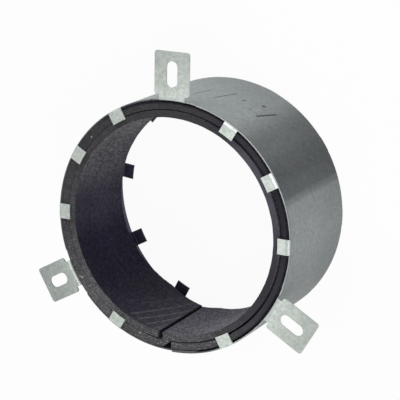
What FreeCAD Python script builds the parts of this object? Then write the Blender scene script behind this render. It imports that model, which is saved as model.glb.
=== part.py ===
import FreeCAD, Part
import math
import os

import Sketcher

# Pipe fire collar: a round casing folded from one steel sheet, with a strip that swells in a fire inside it.
# The frame's origin is on the casing's axis in the plane of the lugs' outer faces, which lie on the wall.
# +Z points out of the casing towards that wall, +Y towards the top lug. Lengths are in mm and angles in
# degrees, counter-clockwise seen from the wall.

SIZES = [
    # casing
    ("shell_radius", 70.0, "outer radius of the rolled casing"),
    ("shell_height", 70.0, "from the lugs' outer faces to the far end"),
    ("sheet", 0.7, "thickness of the steel sheet"),
    ("bend_radius", 0.6, "inside radius of every folded tab and lug"),
    # tabs folded inwards
    ("tab_width", 8.4, "width of a folded tab"),
    ("tab_reach", 7.0, "from the casing's outer surface to a tab's tip"),
    ("front_places", 12, "places for tabs, lugs and the joint on the lug end"),
    ("back_tabs", 10, "tabs on the far end"),
    ("back_pitch", 34.8, "angle between the far end's tabs"),
    ("back_last_angle", 243.2, "angle of the far end's last tab before the joint"),
    # fixing lugs folded outwards
    ("lug_count", 3, "lugs, evenly spaced, the first at the top"),
    ("lug_first_angle", 90.0, "angle of the top lug"),
    ("lug_width", 20.7, "width of a lug"),
    ("lug_reach", 25.7, "from the casing's outer surface to a lug's end"),
    ("lug_neck_width", 15.0, "width of a lug where it leaves the casing"),
    ("lug_shoulder", 2.2, "from the casing's outer surface to a lug's shoulders"),
    ("lug_corner", 1.6, "radius of a lug's corners"),
    ("slot_width", 6.4, "width of the fixing slot, for an M6 fixing"),
    ("slot_length", 14.2, "length of the fixing slot from end to end"),
    ("slot_place", 13.5, "from the casing's outer surface to the slot's middle"),
    ("left_lug_lean", 13.0, "how far the left lug is bent back from the wall"),
    ("relief_width", 27.0, "width of the shallow cut-back at a lug's root"),
    ("relief_depth", 0.6, "depth of that cut-back"),
    # lap joint of the sheet's two ends
    ("lap_edge_angle", 270.8, "angle of the edge of the end that lies outside"),
    ("lap_width", 15.0, "how far the other end reaches under it"),
    ("run_in_angle", 225.0, "angle where that end starts to turn inwards"),
    ("weld_count", 3, "spot welds along the joint"),
    ("weld_radius", 2.0, "radius of a spot weld's dimple"),
    ("weld_depth", 0.2, "depth of the dimple"),
    # strip that swells, wound in two turns
    ("strip_thickness", 4.0, "thickness of the strip"),
    ("strip_width", 51.0, "width of the strip along the axis"),
    ("strip_recess", 0.8, "clearance under the lug end's tabs"),
    ("strip_clearance", 0.1, "clearance to the sheet's tucked end"),
    ("turn_gap_tight", 0.1, "gap between the turns on the left"),
    ("turn_gap_open", 1.0, "gap between the turns on the right"),
    ("strip_start_angle", 270.3, "angle of the strip's start, against the casing"),
    ("strip_end_setback", 7.1, "how far the strip's inner end stops short of its start"),
    ("climb_mouth", 5.1, "opening left at the casing where the strip climbs over its start"),
    ("groove", 1.7, "groove between the inner end and the climbing strip"),
]

# Expressions that the features share.
OUTSIDE = "Sizes.shell_radius"
INSIDE = "(Sizes.shell_radius - Sizes.sheet)"
TUCKED_INSIDE = "(Sizes.shell_radius - 2 * Sizes.sheet)"
FOLD = "(Sizes.sheet + Sizes.bend_radius)"
LOW_FOLD = f"({FOLD} - Sizes.shell_height)"
TAB_TIP = "(Sizes.shell_radius - Sizes.tab_reach)"
NEAR_CUT = f"(0.8 * {TAB_TIP})"
FAR_CUT = "(1.1 * Sizes.shell_radius)"
LAP_TURN = "(Sizes.lap_edge_angle - Sizes.run_in_angle)"
# The sheet turns in by one thickness on an arc that leaves the casing's circle along its tangent and meets
# the circle one sheet smaller at the outer end's edge. This is how far that arc's centre is from the axis.
RUN_IN_SHIFT = (
    f"((Sizes.shell_radius ^ 2 - {INSIDE} ^ 2)"
    f" / (2 * (Sizes.shell_radius - {INSIDE} * cos({LAP_TURN}))))"
)
FRONT_PITCH = "(360 / Sizes.front_places)"
# What the far end's evenly spaced tabs leave free around the joint.
BACK_REST = "(360 - (Sizes.back_tabs - 1) * Sizes.back_pitch)"
LUG_SPACING = "360 / Sizes.lug_count"
TURN_ONE_OUTSIDE = f"({TUCKED_INSIDE} - Sizes.strip_clearance)"
TURN_ONE_INSIDE = f"({TURN_ONE_OUTSIDE} - Sizes.strip_thickness)"
TURN_TWO_OUTSIDE = f"({TURN_ONE_INSIDE} - (Sizes.turn_gap_tight + Sizes.turn_gap_open) / 2)"
TURN_TWO_INSIDE = f"({TURN_TWO_OUTSIDE} - Sizes.strip_thickness)"
TURN_TWO_SHIFT = "((Sizes.turn_gap_open - Sizes.turn_gap_tight) / 2)"

# Sketcher's numbers for an edge's points and for the sketch's own axes and origin.
START, END, CENTRE = range(1, 4)
H_AXIS, V_AXIS = range(-1, -3, -1)
ORIGIN = (H_AXIS, START)


def make_sheet(doc):
    """Writes the driving sizes into a spreadsheet, one named cell each."""
    sheet = doc.addObject("Spreadsheet::Sheet", "Sizes")
    for row, (name, value, meaning) in enumerate(SIZES, start=1):
        sheet.set(f"A{row}", name)
        sheet.set(f"B{row}", str(value))
        sheet.set(f"C{row}", meaning)
        sheet.setAlias(f"B{row}", name)
    doc.recompute()


def origin_part(body, role):
    """One of the body's own planes or axes."""
    return next(part for part in body.Origin.OriginFeatures if part.Role == role)


def polar(radius, degrees, centre=(0, 0)):
    """The point at a radius and an angle around a centre."""
    angle = math.radians(degrees)
    return centre[0] + radius * math.cos(angle), centre[1] + radius * math.sin(angle)


class Drawing:
    """A sketch on one of a body's own planes. Its edges are drawn in place and then held by constraints."""

    def __init__(self, body, name, plane):
        self.sketch = body.newObject("Sketcher::SketchObject", name)
        self.sketch.AttachmentSupport = (origin_part(body, plane), [""])
        self.sketch.MapMode = "FlatFace"

    def turned(self, axis, angle, **shift):
        """Turns the sketch about an axis of its own plane and shifts it. All are expressions."""
        turn = f"rotation(vector{axis}; {angle})"
        place = [shift.get(letter, "0") for letter in "xyz"]
        self.placed(f"vector({place[0]}; {place[1]}; {place[2]})", turn)
        return self

    def placed(self, place, turn):
        self.sketch.setExpression("AttachmentOffset", f"placement({place}; {turn})")

    def now(self, expression):
        """The present value of an expression."""
        return float(self.sketch.evalExpression(expression))

    def line(self, first, last, construction=False):
        edge = Part.LineSegment(FreeCAD.Vector(*first, 0), FreeCAD.Vector(*last, 0))
        return self.sketch.addGeometry(edge, construction)

    def circle(self, centre, radius):
        whole = Part.Circle(FreeCAD.Vector(*centre, 0), FreeCAD.Vector(0, 0, 1), radius)
        return self.sketch.addGeometry(whole, False)

    def arc(self, centre, radius, first, last):
        """An arc that runs counter-clockwise from the angle first to the angle last."""
        whole = Part.Circle(FreeCAD.Vector(*centre, 0), FreeCAD.Vector(0, 0, 1), radius)
        piece = Part.ArcOfCircle(whole, math.radians(first), math.radians(last))
        return self.sketch.addGeometry(piece, False)

    def fix(self, kind, *references):
        """Adds a constraint that has no dimension."""
        self.sketch.addConstraint(Sketcher.Constraint(kind, *references))

    def size(self, kind, *references, to):
        """Adds a dimension and binds it to an expression."""
        index = self.sketch.addConstraint(Sketcher.Constraint(kind, *references, self.now(to)))
        self.sketch.setExpression(f"Constraints[{index}]", to)

    def at_x(self, edge, point, to):
        """Holds a point's distance from the vertical axis. A negative one is on its left."""
        if self.now(to) < 0:
            self.size("DistanceX", edge, point, *ORIGIN, to=f"-({to})")
        else:
            self.size("DistanceX", *ORIGIN, edge, point, to=to)

    def at_y(self, edge, point, to):
        """Holds a point's distance from the horizontal axis. A negative one is below it."""
        if self.now(to) < 0:
            self.size("DistanceY", edge, point, *ORIGIN, to=f"-({to})")
        else:
            self.size("DistanceY", *ORIGIN, edge, point, to=to)

    def join(self, *joints):
        """Makes ends meet. A joint is (edge, point, edge, point)."""
        for joint in joints:
            self.fix("Coincident", *joint)

    def smooth(self, *joints):
        """Makes ends meet so that one edge runs smoothly into the next."""
        for joint in joints:
            self.fix("Tangent", *joint)

    def rectangle(self, left, right, low, high):
        """A rectangle between four expressions."""
        x = [self.now(left), self.now(right)]
        y = [self.now(low), self.now(high)]
        bottom = self.line((x[0], y[0]), (x[1], y[0]))
        far = self.line((x[1], y[0]), (x[1], y[1]))
        top = self.line((x[1], y[1]), (x[0], y[1]))
        near = self.line((x[0], y[1]), (x[0], y[0]))
        self.join((bottom, END, far, START), (far, END, top, START), (top, END, near, START))
        self.join((near, END, bottom, START))
        for edge in (bottom, top):
            self.fix("Horizontal", edge)
        for edge in (far, near):
            self.fix("Vertical", edge)
        self.at_x(near, START, left)
        self.at_x(far, START, right)
        self.at_y(bottom, START, low)
        self.at_y(top, START, high)


def feature(body, kind, name, drawing, **settings):
    """Adds a feature that uses a drawing. A setting given as text is bound as an expression."""
    made = body.newObject("PartDesign::" + kind, name)
    made.Profile = drawing.sketch
    for setting, value in settings.items():
        if isinstance(value, str):
            made.setExpression(setting, value)
        else:
            setattr(made, setting, value)
    body.Tip = made
    return made


def around(body, name, original, count, angle="360", reverse=False):
    """Repeats a feature around the body's Z axis."""
    pattern = body.newObject("PartDesign::PolarPattern", name)
    pattern.Originals = [original]
    pattern.Axis = (origin_part(body, "Z_Axis"), [""])
    pattern.Reversed = reverse
    pattern.setExpression("Angle", angle)
    pattern.setExpression("Occurrences", count)
    body.Tip = pattern


def upright(body, name, angle):
    """A drawing on the upright plane through the axis at an angle: X runs outwards and Y is the frame's Z."""
    return Drawing(body, name, "XZ_Plane").turned("(0; 1; 0)", angle)


def level(body, name, angle, height="0"):
    """A drawing on a level plane: X runs outwards at an angle."""
    return Drawing(body, name, "XY_Plane").turned("(0; 0; 1)", angle, z=height)


def draw_section(body):
    """The sheet's section with both folded rims, and the axis of the arc on which the sheet turns in."""
    d = upright(body, "SheetSection", "Sizes.run_in_angle")
    outside, inside, tip = d.now(OUTSIDE), d.now(INSIDE), d.now(TAB_TIP)
    sheet, bend, fold = d.now("Sizes.sheet"), d.now("Sizes.bend_radius"), d.now(FOLD)
    low, low_fold, bend_x = -d.now("Sizes.shell_height"), d.now(LOW_FOLD), outside - fold

    outer_wall = d.line((outside, low_fold), (outside, -fold))
    top_outer_bend = d.arc((bend_x, -fold), fold, 0, 90)
    top_face = d.line((bend_x, 0), (tip, 0))
    top_tip = d.line((tip, 0), (tip, -sheet))
    top_under = d.line((tip, -sheet), (bend_x, -sheet))
    top_inner_bend = d.arc((bend_x, -fold), bend, 0, 90)
    inner_wall = d.line((inside, -fold), (inside, low_fold))
    low_inner_bend = d.arc((bend_x, low_fold), bend, 270, 360)
    low_under = d.line((bend_x, low + sheet), (tip, low + sheet))
    low_tip = d.line((tip, low + sheet), (tip, low))
    low_face = d.line((tip, low), (bend_x, low))
    low_outer_bend = d.arc((bend_x, low_fold), fold, 270, 360)
    d.smooth(
        (outer_wall, END, top_outer_bend, START),
        (top_outer_bend, END, top_face, START),
        (top_under, END, top_inner_bend, END),
        (top_inner_bend, START, inner_wall, START),
        (inner_wall, END, low_inner_bend, END),
        (low_inner_bend, START, low_under, START),
        (low_face, END, low_outer_bend, START),
        (low_outer_bend, END, outer_wall, START),
    )
    d.join(
        (top_face, END, top_tip, START),
        (top_tip, END, top_under, START),
        (low_under, END, low_tip, START),
        (low_tip, END, low_face, START),
    )
    for wall in (outer_wall, inner_wall, top_tip, low_tip):
        d.fix("Vertical", wall)
    for face in (top_face, top_under, low_under, low_face):
        d.fix("Horizontal", face)
    for bend in (top_outer_bend, low_outer_bend):
        d.size("Radius", bend, to=FOLD)
    for bend in (top_inner_bend, low_inner_bend):
        d.size("Radius", bend, to="Sizes.bend_radius")
    d.at_x(outer_wall, END, OUTSIDE)
    d.at_x(inner_wall, START, INSIDE)
    d.at_x(top_tip, START, TAB_TIP)
    d.at_x(low_tip, START, TAB_TIP)
    d.fix("PointOnObject", top_tip, START, H_AXIS)
    d.at_y(top_tip, END, "-Sizes.sheet")
    d.at_y(low_tip, START, "Sizes.sheet - Sizes.shell_height")
    d.at_y(low_tip, END, "-Sizes.shell_height")

    shift = d.now(RUN_IN_SHIFT)
    run_in_axis = d.line((shift, low), (shift, 0), construction=True)
    d.fix("Vertical", run_in_axis)
    d.fix("PointOnObject", run_in_axis, END, H_AXIS)
    d.at_x(run_in_axis, START, RUN_IN_SHIFT)
    d.at_y(run_in_axis, START, "-Sizes.shell_height")
    return d


def draw_tucked_wall(body):
    """The outline of the end that turns in and lies under the other one. X runs outwards where that starts."""
    d = level(body, "TuckedWallOutline", "Sizes.run_in_angle", f"-{FOLD}")
    outside, inside, tucked = d.now(OUTSIDE), d.now(INSIDE), d.now(TUCKED_INSIDE)
    shift, turn = d.now(RUN_IN_SHIFT), d.now(LAP_TURN)
    centre = (shift, 0)
    stop = turn + math.degrees(2 * math.asin(d.now("Sizes.lap_width") / 2 / inside))
    meet_x = (shift ** 2 + tucked ** 2 - (inside - shift) ** 2) / (2 * shift)
    meet = math.degrees(math.acos(meet_x / tucked))
    outer_turn = math.degrees(math.atan2(polar(inside, turn)[1], polar(inside, turn)[0] - shift))
    inner_turn = math.degrees(math.atan2(polar(tucked, meet)[1], polar(tucked, meet)[0] - shift))

    start = d.line((inside, 0), (outside, 0))
    outer_run = d.arc(centre, outside - shift, 0, outer_turn)
    outer_lap = d.arc((0, 0), inside, turn, stop)
    end = d.line(polar(inside, stop), polar(tucked, stop))
    inner_lap = d.arc((0, 0), tucked, meet, stop)
    inner_run = d.arc(centre, inside - shift, 0, inner_turn)
    d.join(
        (start, END, outer_run, START),
        (outer_run, END, outer_lap, START),
        (outer_lap, END, end, START),
        (end, END, inner_lap, END),
        (inner_lap, START, inner_run, END),
        (inner_run, START, start, START),
        (outer_lap, CENTRE, *ORIGIN),
        (inner_lap, CENTRE, *ORIGIN),
        (inner_run, CENTRE, outer_run, CENTRE),
    )
    d.fix("PointOnObject", start, START, H_AXIS)
    d.fix("PointOnObject", start, END, H_AXIS)
    d.fix("PointOnObject", outer_run, CENTRE, H_AXIS)
    d.fix("PointOnObject", *ORIGIN, end)
    d.at_x(outer_run, CENTRE, RUN_IN_SHIFT)
    d.at_x(start, START, INSIDE)
    d.at_x(start, END, OUTSIDE)
    d.size("Radius", outer_lap, to=INSIDE)
    d.size("Radius", inner_lap, to=TUCKED_INSIDE)
    d.size("Distance", outer_lap, START, outer_lap, END, to="Sizes.lap_width")
    return d


def roll_the_sheet(body):
    """The wall with a folded rim at both ends: its round part, the part that turns in, and the tucked end."""
    section = draw_section(body)
    feature(
        body, "Revolution", "RoundWall", section,
        ReferenceAxis=(section.sketch, ["V_Axis"]), Angle=f"360 - {LAP_TURN}", Reversed=True,
    )
    feature(
        body, "Revolution", "RunIn", section,
        ReferenceAxis=(section.sketch, ["Axis0"]), Angle=LAP_TURN,
    )
    feature(
        body, "Pad", "TuckedWall", draw_tucked_wall(body),
        Length=f"Sizes.shell_height - 2 * {FOLD}", Reversed=True,
    )


def draw_gap(body, name, bisector, pitch, height="0"):
    """The room between two tabs. Each side runs parallel to its tab's direction, half a tab away from it."""
    d = level(body, name, bisector, height)
    near, far = d.now(NEAR_CUT), d.now(FAR_CUT)
    near_half, far_half = (
        f"({x} * tan({pitch} / 2) - Sizes.tab_width / 2 / cos({pitch} / 2))" for x in (NEAR_CUT, FAR_CUT)
    )
    near_y, far_y = d.now(near_half), d.now(far_half)
    low_side = d.line((near, -near_y), (far, -far_y))
    far_side = d.line((far, -far_y), (far, far_y))
    high_side = d.line((far, far_y), (near, near_y))
    near_side = d.line((near, near_y), (near, -near_y))
    d.join(
        (low_side, END, far_side, START),
        (far_side, END, high_side, START),
        (high_side, END, near_side, START),
        (near_side, END, low_side, START),
    )
    d.fix("Vertical", far_side)
    d.fix("Vertical", near_side)
    d.at_x(near_side, START, NEAR_CUT)
    d.at_x(far_side, START, FAR_CUT)
    d.at_y(near_side, START, near_half)
    d.at_y(near_side, END, "-" + near_half)
    d.at_y(far_side, START, "-" + far_half)
    d.at_y(far_side, END, far_half)
    return d


def cut_front_tabs(body):
    """Cuts the lug end's rim into tabs and clears the places of the lugs and of the joint."""
    gap = draw_gap(body, "FrontGap", f"{FRONT_PITCH} / 2", FRONT_PITCH)
    first = feature(body, "Pocket", "FrontGapCut", gap, Length=FOLD)
    around(body, "FrontGaps", first, "Sizes.front_places")

    side = "Sizes.relief_width / 2"
    place = level(body, "LugPlace", "Sizes.lug_first_angle")
    place.rectangle(NEAR_CUT, FAR_CUT, "-" + side, side)
    first = feature(body, "Pocket", "LugPlaceCut", place, Length=FOLD)
    around(body, "LugPlaces", first, "Sizes.lug_count")

    joint = level(body, "JointPlace", "Sizes.lap_edge_angle")
    joint.rectangle(NEAR_CUT, FAR_CUT, "-" + side, side)
    feature(body, "Pocket", "JointPlaceCut", joint, Length=FOLD)


def cut_back_tabs(body):
    """Cuts the far end's rim into tabs, which leave a wider room around the joint."""
    far_end = "-Sizes.shell_height"
    last_gap = "Sizes.back_last_angle - Sizes.back_pitch / 2"
    gap = draw_gap(body, "BackGap", last_gap, "Sizes.back_pitch", far_end)
    first = feature(body, "Pocket", "BackGapCut", gap, Length=FOLD, Reversed=True)
    spread = "(Sizes.back_tabs - 2) * Sizes.back_pitch"
    around(body, "BackGaps", first, "Sizes.back_tabs - 1", angle=spread, reverse=True)

    gap = draw_gap(body, "BackJointGap", f"Sizes.back_last_angle + {BACK_REST} / 2", BACK_REST, far_end)
    feature(body, "Pocket", "BackJointGapCut", gap, Length=FOLD, Reversed=True)


def draw_lug_bend(body, name, angle, lean):
    """The section of the bend that turns the sheet outwards, through a right angle and the lean."""
    d = upright(body, name, angle)
    root = f"({OUTSIDE} + Sizes.bend_radius)"
    foot_y = f"-({FOLD} + Sizes.relief_depth)"
    x, fold, bend, low = d.now(root), d.now(FOLD), d.now("Sizes.bend_radius"), d.now(foot_y)
    turned = 90 - d.now(lean)
    outer = d.arc((x, -fold), fold, turned, 180)
    inner = d.arc((x, -fold), bend, turned, 180)
    wall_in = d.line((x - fold, -fold), (x - fold, low))
    foot = d.line((x - fold, low), (x - bend, low))
    wall_out = d.line((x - bend, low), (x - bend, -fold))
    end = d.line(polar(bend, turned, (x, -fold)), polar(fold, turned, (x, -fold)))
    d.smooth((outer, END, wall_in, START), (wall_out, END, inner, END))
    d.join(
        (wall_in, END, foot, START),
        (foot, END, wall_out, START),
        (inner, START, end, START),
        (end, END, outer, START),
        (inner, CENTRE, outer, CENTRE),
    )
    for wall in (wall_in, wall_out):
        d.fix("Vertical", wall)
    d.fix("Horizontal", foot)
    d.fix("PointOnObject", outer, CENTRE, end)
    d.size("Radius", outer, to=FOLD)
    d.at_x(outer, CENTRE, root)
    d.at_y(outer, CENTRE, f"-{FOLD}")
    d.at_y(foot, START, foot_y)
    d.at_x(wall_out, START, OUTSIDE)
    d.at_x(end, END, f"{root} + {FOLD} * sin({lean})")
    return d


def draw_lug_outline(body, name, angle, lean):
    """A lug's flat outline with its slot, on the plane of its outer face. X runs outwards along the lug."""
    bend_end = f"({OUTSIDE} + Sizes.bend_radius + {FOLD} * sin({lean}))"
    back = f"{bend_end} * (1 - cos({lean}))"
    height = f"{FOLD} * (cos({lean}) - 1) + {bend_end} * sin({lean})"
    d = Drawing(body, name, "XY_Plane")
    d.placed(
        f"vector({back} * cos({angle}); {back} * sin({angle}); {height})",
        f"rotation(vector(0; 0; 1); {angle}) * rotation(vector(0; 1; 0); {lean})",
    )
    neck_half, half = "(Sizes.lug_neck_width / 2)", "(Sizes.lug_width / 2)"
    shoulder, reach = f"({OUTSIDE} + Sizes.lug_shoulder)", f"({OUTSIDE} + Sizes.lug_reach)"
    root, neck, side, corner = d.now(bend_end), d.now(neck_half), d.now(half), d.now("Sizes.lug_corner")
    step_x, tip = d.now(shoulder), d.now(reach)
    spread = math.degrees(math.asin(neck / root))
    inner, outer, round_y = step_x + corner, tip - corner, side - corner

    root_arc = d.arc((0, 0), root, -spread, spread)
    neck_up = d.line(polar(root, spread), (step_x, neck))
    step_up = d.line((step_x, neck), (step_x, round_y))
    near_up = d.arc((inner, round_y), corner, 90, 180)
    side_up = d.line((inner, side), (outer, side))
    far_up = d.arc((outer, round_y), corner, 0, 90)
    far_end = d.line((tip, round_y), (tip, -round_y))
    far_down = d.arc((outer, -round_y), corner, 270, 360)
    side_down = d.line((outer, -side), (inner, -side))
    near_down = d.arc((inner, -round_y), corner, 180, 270)
    step_down = d.line((step_x, -round_y), (step_x, -neck))
    neck_down = d.line((step_x, -neck), polar(root, -spread))
    d.join(
        (root_arc, CENTRE, *ORIGIN),
        (root_arc, END, neck_up, START),
        (neck_up, END, step_up, START),
        (step_down, END, neck_down, START),
        (neck_down, END, root_arc, START),
    )
    d.smooth(
        (step_up, END, near_up, END),
        (near_up, START, side_up, START),
        (side_up, END, far_up, END),
        (far_up, START, far_end, START),
        (far_end, END, far_down, END),
        (far_down, START, side_down, START),
        (side_down, END, near_down, END),
        (near_down, START, step_down, START),
    )
    for edge in (neck_up, side_up, side_down, neck_down):
        d.fix("Horizontal", edge)
    for edge in (step_up, far_end, step_down):
        d.fix("Vertical", edge)
    for rounding in (near_up, far_up, far_down, near_down):
        d.size("Radius", rounding, to="Sizes.lug_corner")
    d.size("Radius", root_arc, to=bend_end)
    d.at_y(neck_up, START, neck_half)
    d.at_y(neck_down, END, "-" + neck_half)
    d.at_x(step_up, START, shoulder)
    d.at_x(step_down, END, shoulder)
    d.at_x(far_end, START, reach)
    d.at_y(side_up, START, half)
    d.at_y(side_down, START, "-" + half)
    draw_slot(d)
    return d


def draw_slot(d):
    """The slot along a lug, round at both ends."""
    half_run = "(Sizes.slot_length - Sizes.slot_width) / 2"
    far_x, near_x = (f"{OUTSIDE} + Sizes.slot_place {sign} {half_run}" for sign in "+-")
    far, near, half = d.now(far_x), d.now(near_x), d.now("Sizes.slot_width / 2")
    far_round = d.arc((far, 0), half, 270, 450)
    upper = d.line((far, half), (near, half))
    near_round = d.arc((near, 0), half, 90, 270)
    lower = d.line((near, -half), (far, -half))
    d.smooth(
        (far_round, END, upper, START),
        (upper, END, near_round, START),
        (near_round, END, lower, START),
        (lower, END, far_round, START),
    )
    d.fix("Horizontal", upper)
    d.fix("Horizontal", lower)
    d.size("Radius", far_round, to="Sizes.slot_width / 2")
    d.fix("PointOnObject", far_round, CENTRE, H_AXIS)
    d.at_x(far_round, CENTRE, far_x)
    d.at_x(near_round, CENTRE, near_x)


def add_lug(body, name, angle, lean="0"):
    """One lug: the sheet folds out of the wall, by a right angle and the lean, into a slotted plate.

    The bend is made a little wider than the lug's neck and is trimmed with the reliefs.
    """
    bend = draw_lug_bend(body, name + "BendSection", angle, lean)
    feature(
        body, "Revolution", name + "Bend", bend,
        ReferenceAxis=(bend.sketch, ["V_Axis"]), Midplane=True,
        Angle=f"2 * asin((Sizes.lug_neck_width / 2 + Sizes.bend_radius) / {OUTSIDE})",
    )
    outline = draw_lug_outline(body, name + "Outline", angle, lean)
    feature(body, "Pad", name, outline, Length="Sizes.sheet", Reversed=True)


def cut_reliefs(body):
    """Cuts the wall back a little on both sides of each lug and trims the lugs' bends to their necks."""
    side, inner_side = "Sizes.relief_width / 2", "Sizes.lug_neck_width / 2"
    reach = f"({OUTSIDE} + Sizes.lug_shoulder / 2)"
    relief = level(body, "Relief", "Sizes.lug_first_angle", "Sizes.sheet")
    relief.rectangle(NEAR_CUT, reach, inner_side, side)
    relief.rectangle(NEAR_CUT, reach, "-" + side, "-" + inner_side)
    first = feature(body, "Pocket", "ReliefCut", relief, Length=f"Sizes.sheet + {FOLD} + Sizes.relief_depth")
    around(body, "Reliefs", first, "Sizes.lug_count")


def add_spot_welds(body, count):
    """Shallow round dimples in a row along the joint, halfway across the lap."""
    middle = f"(Sizes.lap_edge_angle + 90 / pi * Sizes.lap_width / {OUTSIDE})"
    d = Drawing(body, "SpotWeldRow", "XZ_Plane").turned(
        "(0; 1; 0)", f"{middle} + 90", x=f"{OUTSIDE} * cos({middle})", z=f"-{OUTSIDE} * sin({middle})"
    )
    for place in range(1, count + 1):
        height = f"-Sizes.shell_height * {place} / (Sizes.weld_count + 1)"
        dimple = d.circle((0, d.now(height)), d.now("Sizes.weld_radius"))
        d.size("Radius", dimple, to="Sizes.weld_radius")
        d.fix("PointOnObject", dimple, CENTRE, V_AXIS)
        d.at_y(dimple, CENTRE, height)
    feature(body, "Pocket", "SpotWelds", d, Length="Sizes.weld_depth")


def make_shell(doc):
    """The casing: one folded sheet with its tabs, its lugs and its welded lap."""
    body = doc.addObject("PartDesign::Body", "Shell")
    body.Label = "shell"
    roll_the_sheet(body)
    cut_front_tabs(body)
    cut_back_tabs(body)
    add_lug(body, "TopLug", "Sizes.lug_first_angle")
    add_lug(body, "LeftLug", f"(Sizes.lug_first_angle + {LUG_SPACING})", "Sizes.left_lug_lean")
    add_lug(body, "RightLug", f"(Sizes.lug_first_angle - {LUG_SPACING})")
    cut_reliefs(body)
    add_spot_welds(body, int(doc.getObject("Sizes").weld_count))
    return body


def draw_strip(body):
    """The strip's outline, seen from the wall. X runs outwards along its start face.

    The strip starts against the casing, runs once around, climbs over its own start and ends one turn later.
    The inner turn's arcs have their centre a little to the left, which widens the gap on the right.
    """
    d = level(body, "StripOutline", "Sizes.strip_start_angle", "-(Sizes.sheet + Sizes.strip_recess)")
    one_out, one_in = d.now(TURN_ONE_OUTSIDE), d.now(TURN_ONE_INSIDE)
    two_out, two_in = d.now(TURN_TWO_OUTSIDE), d.now(TURN_TWO_INSIDE)
    centre = (0, -d.now(TURN_TWO_SHIFT))
    foot = d.now(f"-2 * asin(Sizes.climb_mouth / 2 / {TURN_ONE_OUTSIDE})")
    stop = d.now(f"-asin(Sizes.strip_end_setback / {TURN_TWO_OUTSIDE})")
    climb = stop + d.now(f"180 / pi * Sizes.groove / {TURN_TWO_INSIDE}")
    over = d.now(f"asin({TURN_TWO_SHIFT} / {TURN_TWO_OUTSIDE})")

    start_face = d.line((one_in, 0), (one_out, 0))
    one_outside = d.arc((0, 0), one_out, 0, 360 + foot)
    climb_outside = d.line(polar(one_out, foot), polar(two_out, over, centre))
    two_outside = d.arc(centre, two_out, over, 360 + stop)
    end_face = d.line(polar(two_out, stop, centre), polar(two_in, stop, centre))
    two_inside = d.arc(centre, two_in, climb, 360 + stop)
    climb_inside = d.line(polar(two_in, climb, centre), polar(one_in, climb))
    one_inside = d.arc((0, 0), one_in, 0, 360 + climb)
    d.join(
        (start_face, END, one_outside, START),
        (one_outside, END, climb_outside, START),
        (climb_outside, END, two_outside, START),
        (two_outside, END, end_face, START),
        (end_face, END, two_inside, END),
        (two_inside, START, climb_inside, START),
        (climb_inside, END, one_inside, END),
        (one_inside, START, start_face, START),
        (one_outside, CENTRE, *ORIGIN),
        (one_inside, CENTRE, *ORIGIN),
        (two_inside, CENTRE, two_outside, CENTRE),
    )
    d.fix("PointOnObject", start_face, START, H_AXIS)
    d.fix("PointOnObject", start_face, END, H_AXIS)
    d.fix("PointOnObject", two_outside, CENTRE, V_AXIS)
    d.at_y(two_outside, CENTRE, f"-{TURN_TWO_SHIFT}")
    d.size("Radius", one_outside, to=TURN_ONE_OUTSIDE)
    d.size("Radius", one_inside, to=TURN_ONE_INSIDE)
    d.size("Radius", two_outside, to=TURN_TWO_OUTSIDE)
    d.size("Radius", two_inside, to=TURN_TWO_INSIDE)
    d.size("Distance", one_outside, START, one_outside, END, to="Sizes.climb_mouth")
    d.fix("PointOnObject", climb_outside, END, H_AXIS)
    d.at_y(end_face, START, "-Sizes.strip_end_setback")
    d.fix("PointOnObject", *ORIGIN, end_face)
    d.fix("Parallel", climb_inside, end_face)
    d.size("Distance", climb_inside, START, end_face, to="Sizes.groove")
    return d


def make_strip(doc):
    """The strip that swells in a fire."""
    body = doc.addObject("PartDesign::Body", "IntumescentStrip")
    body.Label = "intumescent_strip"
    feature(body, "Pad", "Strip", draw_strip(body), Length="Sizes.strip_width", Reversed=True)
    return body


def check(doc, bodies):
    """Stops if an object failed, a sketch is loose, or a body isn't one valid solid."""
    for item in doc.Objects:
        if "Invalid" in item.State or "Error" in item.State:
            raise RuntimeError(f"{item.Label} failed: {item.State}")
        if item.TypeId == "Sketcher::SketchObject" and not item.FullyConstrained:
            raise RuntimeError(f"{item.Label} isn't fully constrained")
    for body in bodies:
        shape = body.Shape
        if shape.isNull() or not shape.isValid() or len(shape.Solids) != 1:
            raise RuntimeError(f"{body.Label} isn't one valid solid")


def main():
    """Builds both pieces, checks them and writes one STEP file each."""
    doc = FreeCAD.newDocument("PipeFireCollar")
    make_sheet(doc)
    bodies = [make_shell(doc), make_strip(doc)]
    doc.recompute()
    check(doc, bodies)
    os.makedirs("parts", exist_ok=True)
    for body in bodies:
        body.Placement = FreeCAD.Placement()
        body.Shape.exportStep(f"parts/{body.Label}.step")
        print(body.Label, "volume", round(body.Shape.Volume, 1), "mm3, box", body.Shape.BoundBox)


main()
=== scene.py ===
"""A pipe fire collar: a folded galvanised casing around a wound strip that swells in a fire."""

import logging
import math
from dataclasses import dataclass
from enum import Enum
from typing import Sequence

import bpy
import numpy as np
from mathutils import Matrix, Vector


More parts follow.
